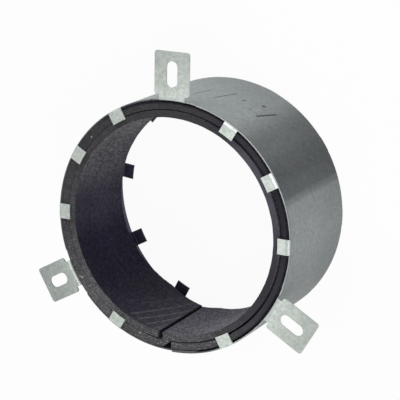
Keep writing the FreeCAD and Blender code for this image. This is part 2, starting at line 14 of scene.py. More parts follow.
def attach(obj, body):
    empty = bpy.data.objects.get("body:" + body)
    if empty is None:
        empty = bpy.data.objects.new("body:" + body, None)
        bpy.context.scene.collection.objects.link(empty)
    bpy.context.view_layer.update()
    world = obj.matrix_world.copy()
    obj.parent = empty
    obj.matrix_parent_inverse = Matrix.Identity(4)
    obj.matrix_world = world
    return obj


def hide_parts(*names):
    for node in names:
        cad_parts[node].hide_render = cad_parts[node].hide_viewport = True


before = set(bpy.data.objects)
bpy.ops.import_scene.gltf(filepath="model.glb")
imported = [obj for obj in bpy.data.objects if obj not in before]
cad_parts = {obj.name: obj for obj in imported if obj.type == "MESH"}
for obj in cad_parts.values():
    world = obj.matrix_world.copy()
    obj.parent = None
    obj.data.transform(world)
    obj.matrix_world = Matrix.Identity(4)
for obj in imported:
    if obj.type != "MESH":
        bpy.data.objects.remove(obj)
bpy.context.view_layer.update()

log = logging.getLogger("fire_collar")

MM = 0.001
Colour = tuple[float, float, float]
Socket = bpy.types.NodeSocket


def srgb(red: int, green: int, blue: int) -> Colour:
    """Turns a screen colour into the linear one that the shaders take.

    Args:
        red: Red, 0 to 255.
        green: Green, 0 to 255.
        blue: Blue, 0 to 255.

    Returns:
        The linear colour.
    """
    def linear(value: int) -> float:
        """Undoes the screen's curve for one channel."""
        part = value / 255
        return part / 12.92 if part <= 0.04045 else ((part + 0.055) / 1.055) ** 2.4

    return linear(red), linear(green), linear(blue)


def around_axis(radius: float, turn: float, height: float = 0.0) -> Vector:
    """The point at a radius, an angle in degrees and a height, with the axis as Z."""
    return Vector((radius * math.cos(math.radians(turn)), radius * math.sin(math.radians(turn)), height))


# Materials


class Nodes:
    """Short calls that add and link the nodes of one finish, world or group."""

    def __init__(self, tree: bpy.types.NodeTree) -> None:
        """Keeps the tree."""
        self.tree = tree

    def add(self, kind: str, inputs: dict[int | str, object] | None = None,
            **settings: object) -> bpy.types.Node:
        """Adds a node.

        Args:
            kind: The node's type without its ShaderNode prefix.
            inputs: Its inputs by name or number, as numbers, colours or sockets.
            settings: Its properties.

        Returns:
            The node.
        """
        node = self.tree.nodes.new("ShaderNode" + kind)
        for name, value in settings.items():
            setattr(node, name, value)
        for key, value in (inputs or {}).items():
            self.feed(node.inputs[key], value)
        return node

    def link(self, source: Socket, target: Socket) -> None:
        """Links one socket to another."""
        self.tree.links.new(source, target)

    def feed(self, socket: Socket, value: object) -> None:
        """Gives a socket a value, or a link where the value is another socket.

        Args:
            socket: The socket to feed.
            value: A number, a colour or a socket.
        """
        if isinstance(value, Socket):
            self.link(value, socket)
        elif socket.type == "RGBA":
            socket.default_value = (*value, 1.0)
        else:
            socket.default_value = value

    def maths(self, operation: str, *values: object) -> Socket:
        """A Math node of numbers or sockets, or a row of such nodes where there are more than two.

        Args:
            operation: The node's operation.
            values: Its inputs, in order.

        Returns:
            The result's socket.
        """
        node = self.add("Math", dict(enumerate(values[:2])), operation=operation)
        if len(values) > 2:
            return self.maths(operation, node.outputs[0], *values[2:])
        return node.outputs[0]

    def times(self, *values: object) -> Socket:
        """The product of two or more numbers or sockets."""
        return self.maths("MULTIPLY", *values)

    def plus(self, *values: object) -> Socket:
        """The sum of two or more numbers or sockets."""
        return self.maths("ADD", *values)

    def highest(self, *values: object) -> Socket:
        """The highest of two or more numbers or sockets."""
        return self.maths("MAXIMUM", *values)

    def away(self, value: Socket, middle: object) -> Socket:
        """How far a value is from a middle, to either side."""
        return self.maths("ABSOLUTE", self.maths("SUBTRACT", value, middle))

    def band(self, value: Socket, low: float, high: float,
             to_low: float = 0.0, to_high: float = 1.0) -> Socket:
        """Carries a value smoothly from one range to another.

        Args:
            value: The socket to read.
            low: Where the change starts.
            high: Where it ends.
            to_low: The result at the start and beyond it.
            to_high: The result at the end and beyond it.

        Returns:
            The result's socket.
        """
        ranges = {"Value": value, "From Min": low, "From Max": high, "To Min": to_low, "To Max": to_high}
        return self.add("MapRange", ranges, interpolation_type="SMOOTHSTEP", clamp=True).outputs["Result"]

    def blend(self, share: object, first: object, second: object, kind: str = "MIX") -> Socket:
        """Mixes two colours.

        Args:
            share: How much of the second colour, a number or a socket.
            first: The first colour or socket.
            second: The second colour or socket.
            kind: How the two are mixed.

        Returns:
            The mixed colour's socket.
        """
        inputs = {0: share, 6: first, 7: second}
        return self.add("Mix", inputs, data_type="RGBA", blend_type=kind, clamp_result=False).outputs[2]

    def tinted(self, colour: object, factor: Socket) -> Socket:
        """A colour multiplied by another one or by a number."""
        return self.blend(1.0, colour, factor, "MULTIPLY")

    def noise(self, place: Socket, scale: object, detail: float = 2.0, roughness: float = 0.5) -> Socket:
        """A noise's value at a place.

        Args:
            place: The place's socket, in metres.
            scale: Waves per metre, a number or a socket.
            detail: How many finer layers it has.
            roughness: How strong they are.

        Returns:
            The value's socket.
        """
        inputs = {"Vector": place, "Scale": scale, "Detail": detail, "Roughness": roughness}
        return self.add("TexNoise", inputs).outputs["Fac"]

    def stops(self, value: Socket, low: float, high: float, steps: Sequence[tuple[float, float]]) -> Socket:
        """Reads a number that eases from step to step along a value.

        Args:
            value: The socket to read.
            low: The value where the steps' range starts.
            high: Where it ends.
            steps: A value and the number there, in rising order of value.

        Returns:
            The number's socket.
        """
        share = self.add("MapRange", {"Value": value, "From Min": low, "From Max": high}, clamp=True)
        ramp = self.add("ValToRGB", {"Fac": share.outputs["Result"]})
        ramp.color_ramp.interpolation = "EASE"
        elements = ramp.color_ramp.elements
        while len(elements) < len(steps):
            elements.new(0.5)
        for element, (where, number) in zip(elements, steps):
            element.position = (where - low) / (high - low)
            element.color = (number, number, number, 1.0)
        return ramp.outputs["Color"]

    def parts(self, vector: Socket) -> tuple[Socket, ...]:
        """The three parts of a vector."""
        return tuple(self.add("SeparateXYZ", {0: vector}).outputs)

    def stretched(self, place: Socket, factors: Colour, turn: Colour = (0, 0, 0)) -> Socket:
        """Turns a place back and then scales it along its axes.

        Args:
            place: The place's socket.
            factors: The scale along each axis.
            turn: The angles in radians.

        Returns:
            The new place.
        """
        inputs = {"Vector": place, "Scale": [1 / factor for factor in factors], "Rotation": turn}
        return self.add("Mapping", inputs, vector_type="TEXTURE").outputs["Vector"]

    def use(self, group: bpy.types.NodeTree, place: Socket, **values: object) -> bpy.types.Node:
        """Adds a shared group.

        Args:
            group: The group.
            place: Where its pattern is read.
            values: Its other inputs by name, as numbers or sockets.

        Returns:
            The group's node.
        """
        return self.add("Group", {"Place": place, **values}, node_tree=group)

    def bumped(self, height: Socket, strength: float, distance: float) -> Socket:
        """The surface's direction with fine relief.

        Args:
            height: The relief's height.
            strength: How strongly it shows, 0 to 1.
            distance: How deep a height of 1 is, in metres.

        Returns:
            The direction's socket.
        """
        inputs = {"Strength": strength, "Distance": distance, "Height": height}
        return self.add("Bump", inputs).outputs["Normal"]


class Surface(Nodes):
    """The nodes of one finish, with the sockets of where the shaded point lies in the object's own space.

    The radius is the root of x squared plus y squared, and the turn is the angle whose tangent is y over x,
    in degrees from -180 to 180. The rest is in metres.
    """

    def __init__(self, tree: bpy.types.NodeTree) -> None:
        """Keeps the tree and reads the shaded point.

        Args:
            tree: The finish's node tree.
        """
        super().__init__(tree)
        self.place = self.add("TexCoord").outputs["Object"]
        x, y, self.z = self.parts(self.place)
        self.radius = self.maths("SQRT", self.plus(self.times(x, x), self.times(y, y)))
        self.turn = self.times(self.maths("ARCTAN2", y, x), 180 / math.pi)

    def by_turn(self, *steps: tuple[float, float]) -> Socket:
        """Reads a number that eases from step to step around the axis.

        Args:
            steps: An angle and the number there, in rising order from -180 to 180 degrees.

        Returns:
            The number's socket.
        """
        return self.stops(self.turn, -180.0, 180.0, steps)

    def slanted(self, lines: Sequence[tuple[float, ...]]) -> Socket:
        """Thin lines whose angle around the axis changes evenly with their height.

        A line is where the angle is within its half width of the line's own angle at that height, between
        the line's two ends.

        Args:
            lines: For each line the angle and the height in millimetres at one end, the same at the end
                further from the wall, then its half width in degrees and its strength.

        Returns:
            The lines' mask.
        """
        masks = []
        for first, top, last, low, half, strength in lines:
            slope = (last - first) / (low - top) / MM
            middle = self.plus(self.times(self.maths("SUBTRACT", self.z, top * MM), slope), first)
            line = self.band(self.away(self.turn, middle), half * 1.5, half * 0.6, 0.0, strength)
            upper = self.band(self.z, (top + 0.4) * MM, (top - 0.6) * MM)
            lower = self.band(self.z, (low - 0.4) * MM, (low + 0.6) * MM)
            masks.append(self.times(line, upper, lower))
        return self.highest(*masks)


def new_group(
    name: str, inputs: Sequence[tuple[str, str, float]], outputs: Sequence[tuple[str, str]],
) -> tuple[bpy.types.NodeTree, Nodes, bpy.types.Node, bpy.types.Node]:
    """Starts a shader node group.

    Args:
        name: The group's name.
        inputs: Name, socket type and default of each input.
        outputs: Name and socket type of each output.

    Returns:
        The group, its nodes, its input node and its output node.
    """
    group = bpy.data.node_groups.new(name, "ShaderNodeTree")
    for label, kind, default in inputs:
        socket = group.interface.new_socket(label, in_out="INPUT", socket_type=kind)
        if kind == "NodeSocketFloat":
            socket.default_value = default
    for label, kind in outputs:
        group.interface.new_socket(label, in_out="OUTPUT", socket_type=kind)
    return group, Nodes(group), group.nodes.new("NodeGroupInput"), group.nodes.new("NodeGroupOutput")


def grain_group() -> bpy.types.NodeTree:
    """Fine grain that both finishes share.

    Two noises of different size are averaged and spread around the middle. Tone multiplies a colour, and
    Height feeds a Bump node.

    Returns:
        The group.
    """
    group, n, start, end = new_group(
        "Grain",
        (("Place", "NodeSocketVector", 0.0), ("Fineness", "NodeSocketFloat", 1500.0),
         ("Contrast", "NodeSocketFloat", 0.2)),
        (("Tone", "NodeSocketFloat"), ("Height", "NodeSocketFloat")),
    )
    place, fineness = start.outputs["Place"], start.outputs["Fineness"]
    mean = n.times(n.plus(*(n.noise(place, n.times(fineness, share)) for share in (1.0, 0.27))), 0.5)
    spread = n.times(n.maths("SUBTRACT", mean, 0.5), start.outputs["Contrast"])
    n.link(n.plus(n.times(spread, 4.0), 1.0), end.inputs["Tone"])
    n.link(mean, end.inputs["Height"])
    return group


def scratches_group() -> bpy.types.NodeTree:
    """Thin scratches that run two ways across a surface.

    For each way a noise is squeezed along one axis, and only its highest crests are kept.

    Returns:
        The group.
    """
    group, n, start, end = new_group(
        "Scratches",
        (("Place", "NodeSocketVector", 0.0), ("Amount", "NodeSocketFloat", 0.5)),
        (("Mask", "NodeSocketFloat"),),
    )
    crests = []
    for factors, turn in (((900.0, 90.0, 90.0), (0.3, 0.5, 0.9)), ((110.0, 110.0, 1100.0), (0.6, 0.2, 0.4))):
        place = n.stretched(start.outputs["Place"], factors, turn)
        crests.append(n.band(n.noise(place, 1.0, 2.0, 0.6), 0.66, 0.74))
    n.link(n.times(n.highest(*crests), start.outputs["Amount"]), end.inputs["Mask"])
    return group


@dataclass(frozen=True)
class Finish:
    """What both finishes have in common."""

    name: str
    roughness: float
    metallic: float

    def start(self) -> tuple[bpy.types.Material, Surface, bpy.types.Node]:
        """Starts the material.

        Returns:
            The material, its nodes and its shader.
        """
        material = bpy.data.materials.new(self.name)
        material.use_nodes = True
        shader = material.node_tree.nodes["Principled BSDF"]
        shader.inputs["Metallic"].default_value = self.metallic
        return material, Surface(material.node_tree), shader


@dataclass(frozen=True)
class GalvanisedSteel(Finish):
    """Zinc-coated sheet: fine spangle, scratches, scribed lines, painted reflections and highlights on the
    wall and the bends, painted shade on the flat sheet and inside, and a darker cut edge.
    """

    name: str = "galvanised_steel"
    roughness: float = 0.42
    metallic: float = 0.6
    pale: Colour = srgb(214, 222, 215)
    deep: Colour = srgb(179, 186, 181)
    mark: Colour = srgb(62, 64, 70)
    wall: Colour = srgb(173, 179, 179)
    painted_highlight_colour: Colour = srgb(238, 242, 242)
    # The colour of the painted highlights on the bends.
    scratched: Colour = srgb(222, 226, 226)
    # The wall's dark freckles and tone, and the painted shade inside the sheet.
    dark_tone_and_painted_shade: Colour = srgb(68, 65, 88)
    glancing: Colour = srgb(205, 210, 208)
    wall_radius: float = 70.0

    def build(self, grain: bpy.types.NodeTree, scratches: bpy.types.NodeTree) -> bpy.types.Material:
        """Builds the material.

        Args:
            grain: The shared grain group.
            scratches: The shared scratches group.

        Returns:
            The material.
        """
        material, n, shader = self.start()
        spangle = n.add("TexVoronoi", {"Vector": n.place, "Scale": 850.0}, feature="F1")
        crystal = n.add("SeparateColor", {0: spangle.outputs["Color"]})
        cloud = n.noise(n.place, 60.0, 3.0, 0.6)
        share = n.plus(n.times(crystal.outputs[0], 0.5), n.times(cloud, 0.6))

        outward, on_wall = self.facing(n)
        painted_bend_reflection, painted_bend_highlight = self.painted_bend_light(n)
        inside, rim = self.inner_shade_and_dark_edge(n, outward)
        colour = self.flat_sheet(n, share)
        # Painted reflections and highlights on the bends.
        colour = n.blend(painted_bend_reflection, colour, self.wall)
        colour = n.blend(painted_bend_highlight, colour, self.painted_highlight_colour)
        colour = n.blend(on_wall, colour, self.rolled_wall(n, share))
        # Painted shade on the inside faces; the cut edge darker, most of all on the left.
        colour = n.blend(inside, colour, self.dark_tone_and_painted_shade)
        colour = n.blend(rim, colour, self.mark)

        fine = n.use(grain, n.place, Fineness=1500.0, Contrast=0.24)
        colour = n.tinted(colour, fine.outputs["Tone"])
        colour = n.blend(n.use(scratches, n.place, Amount=0.07).outputs["Mask"], colour, self.scratched)
        scribed = n.slanted((
            (88.0, -18.2, 85.5, -36.4, 0.3, 0.8), (79.0, -22.4, 75.6, -42.0, 0.3, 0.85),
            (59.3, -28.0, 55.8, -46.2, 0.42, 1.0), (70.0, -35.0, 69.6, -38.9, 0.42, 0.7),
            (62.5, -42.4, 62.2, -45.6, 0.8, 0.75), (64.0, -29.8, 64.0, -31.4, 0.5, 0.7),
        ))
        colour = n.blend(n.times(scribed, on_wall), colour, self.mark)
        n.link(colour, shader.inputs["Base Color"])
        shader.inputs["Specular Tint"].default_value = (*self.glancing, 1.0)

        rough = n.plus(n.times(crystal.outputs[1], 0.14), self.roughness - 0.07, n.times(cloud, 0.08))
        n.link(rough, shader.inputs["Roughness"])
        n.link(n.bumped(fine.outputs["Height"], 0.25, 0.05 * MM), shader.inputs["Normal"])
        return material

    def within(self, n: Surface) -> Socket:
        """The mask of all that lies no further out than the rolled wall."""
        return n.band(n.radius, (self.wall_radius + 0.2) * MM, (self.wall_radius + 0.1) * MM)

    def facing(self, n: Surface) -> tuple[Socket, Socket]:
        """Tells the rolled wall's outer face from the rest.

        The place times the surface's direction, as vectors, comes near the radius where the sheet faces away
        from the axis, and near its negative where it faces the axis.

        Args:
            n: The finish's nodes.

        Returns:
            That product in metres, and the mask of the outer face.
        """
        normal = n.add("NewGeometry").outputs["Normal"]
        outward = n.add("VectorMath", {0: normal, 1: n.place}, operation="DOT_PRODUCT").outputs["Value"]
        upright = n.band(n.maths("ABSOLUTE", n.parts(normal)[2]), 0.7, 0.5)
        below_bends = n.band(n.z, -0.9 * MM, -1.4 * MM)
        return outward, n.times(n.band(outward, 20 * MM, 40 * MM), self.within(n), upright, below_bends)

    def flat_sheet(self, n: Surface, share: Socket) -> Socket:
        """The colour of the tabs and lugs, with painted shade that darkens towards a lug's end and by angle
        around the axis, most of all on the left.

        Args:
            n: The finish's nodes.
            share: How much of the deeper zinc colour there is.

        Returns:
            The colour.
        """
        # Painted shade: darker towards a lug's end, and darker by angle, most of all on the left lug.
        painted_falloff_shade = n.stops(n.radius, 0.06, 0.1, ((0.071, 1.0), (0.080, 0.88), (0.092, 0.76)))
        painted_side_shade = n.by_turn(
            (-164.0, 0.81), (-158.0, 0.76), (-142.0, 0.76), (-136.0, 0.84), (-115.0, 0.87), (-60.0, 1.0),
            (-42.0, 0.95), (-18.0, 0.95), (0.0, 1.0), (84.0, 1.0), (96.0, 0.91), (120.0, 0.81),
        )
        return n.tinted(n.blend(share, self.pale, self.deep), n.times(painted_falloff_shade, painted_side_shade))

    def rolled_wall(self, n: Surface, share: Socket) -> Socket:
        """The wall's colour, with a painted reflection band: darker than the flat sheet, most of all in a
        band beside its right side, and darker towards the back.

        Args:
            n: The finish's nodes.
            share: How much of the deeper zinc colour there is.

        Returns:
            The colour.
        """
        # Painted reflection: the wall's tone eases by angle, darkest in a band beside the right side, and
        # darkens towards the back.
        painted_reflection = n.by_turn(
            (-120.0, 0.76), (-25.0, 0.57), (2.0, 0.72), (16.8, 0.66), (18.7, 0.45), (21.5, 0.26),
            (31.0, 0.215), (46.0, 0.37), (64.0, 0.81), (92.0, 0.86), (150.0, 0.76),
        )
        wall = n.tinted(self.wall, n.times(painted_reflection, n.band(n.z, -20.0 * MM, -66.0 * MM, 1.0, 0.80)))
        wall = n.blend(n.times(share, 0.2), wall, self.dark_tone_and_painted_shade)
        freckle = n.band(n.noise(n.place, 520.0, 3.0, 0.7), 0.58, 0.72, 0.0, 0.22)
        wall = n.blend(freckle, wall, self.dark_tone_and_painted_shade)
        warm = n.times(n.band(n.noise(n.place, 26.0), 0.42, 0.62), n.band(n.turn, 14.0, -20.0), 0.6)
        return n.blend(warm, wall, (1.04, 1.0, 0.93), "MULTIPLY")

    def painted_bend_light(self, n: Surface) -> tuple[Socket, Socket]:
        """Painted reflections and highlights on the bends of the tabs on the right and of the lugs: darker
        reflection zones and highlighted crests.

        Args:
            n: The finish's nodes.

        Returns:
            The masks of the painted reflection zones and of the painted highlights.
        """
        above = n.band(n.z, -1.5 * MM, -1.3 * MM)
        zone = n.times(n.band(n.radius, 67.2 * MM, 67.7 * MM), self.within(n))
        crest = n.times(n.band(n.radius, 68.0 * MM, 68.5 * MM), n.band(n.radius, 69.8 * MM, 69.3 * MM))
        neck = n.times(n.band(n.radius, 70.0 * MM, 70.1 * MM), n.band(n.radius, 71.9 * MM, 71.2 * MM))
        neck_root = n.times(neck, n.band(n.radius, 70.8 * MM, 70.4 * MM))
        painted_reflection = n.by_turn(
            (-26.0, 0.0), (-12.0, 0.85), (12.0, 0.85), (24.0, 0.55), (66.0, 0.35), (80.0, 0.0),
        )
        painted_highlight = n.by_turn((14.0, 0.0), (25.0, 0.8), (63.0, 0.8), (74.0, 0.0))
        painted_neck_reflection = n.by_turn(
            (-60.0, 0.0), (-45.0, 0.6), (-15.0, 0.6), (0.0, 0.0), (70.0, 0.0), (80.0, 0.3), (100.0, 0.3),
            (110.0, 0.0),
        )
        painted_neck_highlight = n.by_turn((-166.0, 0.0), (-160.0, 0.12), (-140.0, 0.12), (-134.0, 0.0))
        painted_reflection = n.plus(n.times(zone, painted_reflection), n.times(neck, painted_neck_reflection))
        painted_highlight = n.plus(n.times(crest, painted_highlight), n.times(neck_root, painted_neck_highlight))
        return n.times(above, painted_reflection), n.times(above, painted_highlight)

    def inner_shade_and_dark_edge(self, n: Surface, outward: Socket) -> tuple[Socket, Socket]:
        """Where the sheet is darkened: painted shade on the faces that look at the axis, and a darker cut
        edge, most of all on the left.

        Args:
            n: The finish's nodes.
            outward: The place times the surface's direction in metres, negative where it faces the axis.

        Returns:
            The masks of the painted shade inside and of the darker cut edge.
        """
        # Painted shade on the faces that look at the axis, behind the front.
        deep = n.band(n.z, -1.8 * MM, -2.4 * MM, 0.0, 0.95)
        inside = n.times(n.band(outward, -20 * MM, -40 * MM), self.within(n), deep)
        across = n.times(n.band(n.radius, 68.4 * MM, 68.5 * MM), self.within(n))
        along = n.times(n.band(n.z, -1.15 * MM, -1.25 * MM), n.band(n.z, -2.2 * MM, -2.0 * MM))
        left = n.by_turn((-72.0, 1.0), (-60.0, 0.42), (86.0, 0.42), (104.0, 1.0))
        return inside, n.times(across, along, left, 0.9)


@dataclass(frozen=True)
class SwellingGraphite(Finish):
    """Soft grey-black strip: streaked and creased broad sides, granular cut edges with a few pale crumbs,
    and painted shade in the groove, beside the sheet, at the inner end and on the left.
    """

    name: str = "intumescent_graphite"
    roughness: float = 0.85
    metallic: float = 0.0
    broad: Colour = srgb(78, 77, 87)
    bloom: Colour = srgb(146, 146, 152)
    pressed: Colour = srgb(42, 39, 57)
    # The painted shade's colour: in the groove, beside the sheet, at the inner end and on the left.
    painted_shade: Colour = srgb(18, 16, 30)
    cut: Colour = srgb(88, 87, 90)
    moulded: Colour = srgb(88, 86, 95)
    grit: Colour = srgb(172, 171, 168)
    crumb: Colour = srgb(174, 167, 148)
    brush_turn: Colour = (0.0, 0.0, -0.27)
    seam_radius: float = 64.3
    crumb_z: float = -1.5
    crumb_spots: tuple[tuple[float, float, float], ...] = (
        (-49.8, 43.7, 0.55), (-56.1, -36.8, 0.85), (-57.2, -36.5, 0.5), (-18.9, -62.6, 0.7),
        (-33.0, -57.0, 0.5),
    )

    def build(self, grain: bpy.types.NodeTree) -> bpy.types.Material:
        """Builds the material. The piece's map runs along the strip (U) and across it (V), in metres.

        Args:
            grain: The shared grain group.

        Returns:
            The material.
        """
        material, n, shader = self.start()
        cloth = n.add("UVMap", uv_map="along_and_across").outputs["UV"]
        brushed = n.noise(n.stretched(cloth, (900.0, 330.0, 1.0), self.brush_turn), 1.0, 4.0, 0.62)
        creases = self.creases(n)
        smooth = n.by_turn((-60.0, 0.0), (-35.0, 1.0), (55.0, 1.0), (88.0, 0.0))
        upward = n.parts(n.add("NewGeometry").outputs["Normal"])[2]
        on_cut = n.band(n.maths("ABSOLUTE", upward), 0.45, 0.8)

        colour = self.broad_side(n, cloth, brushed, creases)
        colour = n.blend(on_cut, colour, self.cut_edge(n, smooth))
        # Painted shade in the groove between the turns and beside the sheet.
        colour = n.blend(self.painted_crevice_shade(n, smooth), colour, self.painted_shade)
        # Painted shade on the inner end's face and just behind it.
        inner_end_shade = n.band(n.parts(cloth)[0], -1.1 * MM, -0.4 * MM, 0.0, 0.85)
        colour = n.blend(inner_end_shade, colour, self.painted_shade)
        coarse = n.by_turn((-60.0, 0.5), (-35.0, 0.16), (70.0, 0.16), (105.0, 0.42))
        fine = n.use(grain, n.place, Fineness=1500.0, Contrast=coarse)
        n.link(n.tinted(colour, fine.outputs["Tone"]), shader.inputs["Base Color"])
        shader.inputs["Specular IOR Level"].default_value = 0.08
        rough = n.band(brushed, 0.3, 0.8, self.roughness + 0.1, self.roughness - 0.1)
        n.link(rough, shader.inputs["Roughness"])

        height = n.plus(n.times(fine.outputs["Height"], 0.7), n.times(brushed, 0.6), creases)
        n.link(n.bumped(height, 0.6, 0.3 * MM), shader.inputs["Normal"])
        return material

    def creases(self, n: Surface) -> Socket:
        """The slanted creases on the inner side at the lower left.

        Args:
            n: The finish's nodes.

        Returns:
            The creases' mask.
        """
        lines = n.slanted((
            (-118.4, -21.0, -108.6, -51.5, 0.55, 0.35), (-116.3, -5.1, -101.0, -50.7, 0.5, 0.9),
            (-111.4, -4.9, -93.8, -49.5, 0.55, 1.0), (-105.6, -4.3, -93.7, -36.3, 0.55, 1.0),
            (-100.8, -3.4, -96.2, -14.3, 0.5, 0.8), (-124.0, -12.0, -117.0, -36.0, 0.4, 0.3),
        ))
        return n.times(lines, n.band(n.radius, 61.5 * MM, 61.0 * MM))

    def broad_side(self, n: Surface, cloth: Socket, brushed: Socket, creases: Socket) -> Socket:
        """The broad sides' colour: powdery streaks, dark on the left with painted shade towards the front
        there, pitted at the upper left.

        Args:
            n: The finish's nodes.
            cloth: The piece's map.
            brushed: The noise of fine streaks.
            creases: The creases' mask.

        Returns:
            The colour.
        """
        powder = n.by_turn(
            (-178.0, 0.12), (-158.0, 0.06), (-130.0, 0.10), (-98.0, 0.20), (-88.0, 0.45), (-62.0, 0.68),
            (40.0, 0.5), (95.0, 0.52), (128.0, 0.68), (150.0, 0.46), (178.0, 0.12),
        )
        blotch = n.noise(n.stretched(cloth, (46.0, 60.0, 1.0)), 1.0, 3.0, 0.6)
        share = n.plus(n.band(brushed, 0.40, 0.64), n.band(blotch, 0.3, 0.8, 0.05, 0.55))
        colour = n.blend(n.times(share, powder), self.broad, self.bloom)

        left = n.by_turn(
            (-178.0, 0.62), (-160.0, 0.96), (-142.0, 0.92), (-126.0, 0.70), (-102.0, 0.36), (-94.0, 0.0),
            (128.0, 0.0), (158.0, 0.20), (178.0, 0.62),
        )
        colour = n.blend(n.times(left, n.band(brushed, 0.62, 0.42, 0.8, 1.0)), colour, self.pressed)
        # Painted shade on the left, strongest towards the front.
        colour = n.blend(n.times(left, n.band(n.z, -34.0 * MM, -12.0 * MM, 0.0, 0.42)), colour, self.painted_shade)
        colour = n.blend(n.times(creases, 0.3), colour, self.bloom)

        plain = n.times(n.band(n.turn, 80.0, 110.0), n.band(n.turn, 180.0, 150.0))
        colour = n.blend(plain, colour, (1.21, 1.23, 1.08), "MULTIPLY")
        pitted = n.noise(n.stretched(cloth, (1300.0, 420.0, 1.0), self.brush_turn), 1.0, 3.0, 0.7)
        return n.blend(n.times(n.band(pitted, 0.54, 0.44), plain, 0.75), colour, self.pressed)

    def cut_edge(self, n: Surface, smooth: Socket) -> Socket:
        """The cut edges' colour: granular on the left, smooth on the right, with the turns' seam, a tone
        that changes with the angle around the axis, and lighter near the inner edge on the upper right.

        Args:
            n: The finish's nodes.
            smooth: Where the edge is smooth, 0 to 1.

        Returns:
            The colour.
        """
        pair = n.by_turn(
            (-178.0, 1.0), (-150.0, 0.7), (-135.0, 0.0), (128.0, 0.0), (142.0, 1.0), (178.0, 1.0),
        )
        seam_radius = self.seam_radius * MM
        outer_turn = n.band(n.radius, seam_radius, 65.2 * MM, 0.0, 0.2)
        seam = n.band(n.away(n.radius, seam_radius), 0.5 * MM, 0.15 * MM, 0.0, 0.55)
        colour = n.blend(smooth, self.cut, self.moulded)
        colour = n.blend(n.times(pair, outer_turn), colour, self.pressed)
        colour = n.blend(n.times(pair, seam), colour, self.pressed)

        # Tone by angle around the axis, and lighter near the inner edge on the upper right.
        edge_tone = n.by_turn(
            (-178.0, 0.58), (-165.0, 0.66), (-135.0, 0.90), (-110.0, 0.66), (-80.0, 0.72), (-50.0, 0.50),
            (-25.0, 0.34), (20.0, 0.22), (45.0, 0.34), (75.0, 0.42), (135.0, 0.46), (178.0, 0.58),
        )
        lighter_inner_edge = n.by_turn((-20.0, 0.0), (18.0, 0.5), (45.0, 0.45), (66.0, 0.0))
        lighter_inner_edge = n.times(lighter_inner_edge, n.band(n.radius, 64.0 * MM, 63.4 * MM))
        colour = n.tinted(colour, n.plus(edge_tone, lighter_inner_edge))

        speck = n.band(n.noise(n.place, 1250.0, 2.0, 0.6), 0.56, 0.70)
        gritty = n.by_turn(
            (-178.0, 0.28), (-135.0, 0.55), (-105.0, 0.60), (-88.0, 0.85), (-72.0, 0.55), (-48.0, 0.08),
            (110.0, 0.08), (150.0, 0.18), (178.0, 0.28),
        )
        colour = n.blend(n.times(speck, gritty), colour, self.grit)
        return n.blend(self.crumbs(n), colour, self.crumb)

    def crumbs(self, n: Surface) -> Socket:
        """A few pale crumbs on the front edge, each where the distance to its middle is small.

        Args:
            n: The finish's nodes.

        Returns:
            The crumbs' mask.
        """
        masks = []
        for x, y, size in self.crumb_spots:
            middle = (x * MM, y * MM, self.crumb_z * MM)
            distance = n.add("VectorMath", {0: n.place, 1: middle}, operation="DISTANCE").outputs["Value"]
            masks.append(n.band(distance, size * 1.2 * MM, size * 0.4 * MM, 0.0, 0.65))
        return n.highest(*masks)

    def painted_crevice_shade(self, n: Surface, smooth: Socket) -> Socket:
        """Painted shade near the front: in the groove between the turns and beside the sheet.

        Args:
            n: The finish's nodes.
            smooth: Where the edge is smooth and the groove open, 0 to 1.

        Returns:
            The painted shade's mask.
        """
        groove = n.times(n.band(n.away(n.radius, 64.1 * MM), 0.9 * MM, 0.45 * MM), smooth)
        beside = n.by_turn((-75.0, 0.0), (-45.0, 1.0), (60.0, 1.0), (118.0, 0.9), (134.0, 0.0))
        beside = n.times(beside, n.band(n.radius, 67.3 * MM, 68.0 * MM))
        return n.times(n.highest(groove, beside), n.band(n.z, -4.5 * MM, -3.0 * MM, 0.0, 0.8))


# The casing


@dataclass
class Casing:
    """The folded sheet, which is the CAD's own mesh with its finish."""

    sharp_turn: float = 28.0

    def dress(self, steel: bpy.types.Material) -> bpy.types.Object:
        """Gives the sheet its finish and smooth shading between sharp edges.

        Args:
            steel: The galvanised finish.

        Returns:
            The dressed piece.
        """
        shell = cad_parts["shell"]
        shell.data.materials.clear()
        shell.data.materials.append(steel)
        weld = shell.modifiers.new("weld", "WELD")
        weld.merge_threshold = 1e-6
        split = shell.modifiers.new("sharp_edges", "EDGE_SPLIT")
        split.split_angle = math.radians(self.sharp_turn)
        shell.data.shade_smooth()
        return shell


# The strip


class Side(Enum):
    """The four sides of the strip's section, in the order of its outline."""

    OUTER = 0
    BACK = 1
    INNER = 2
    FRONT = 3


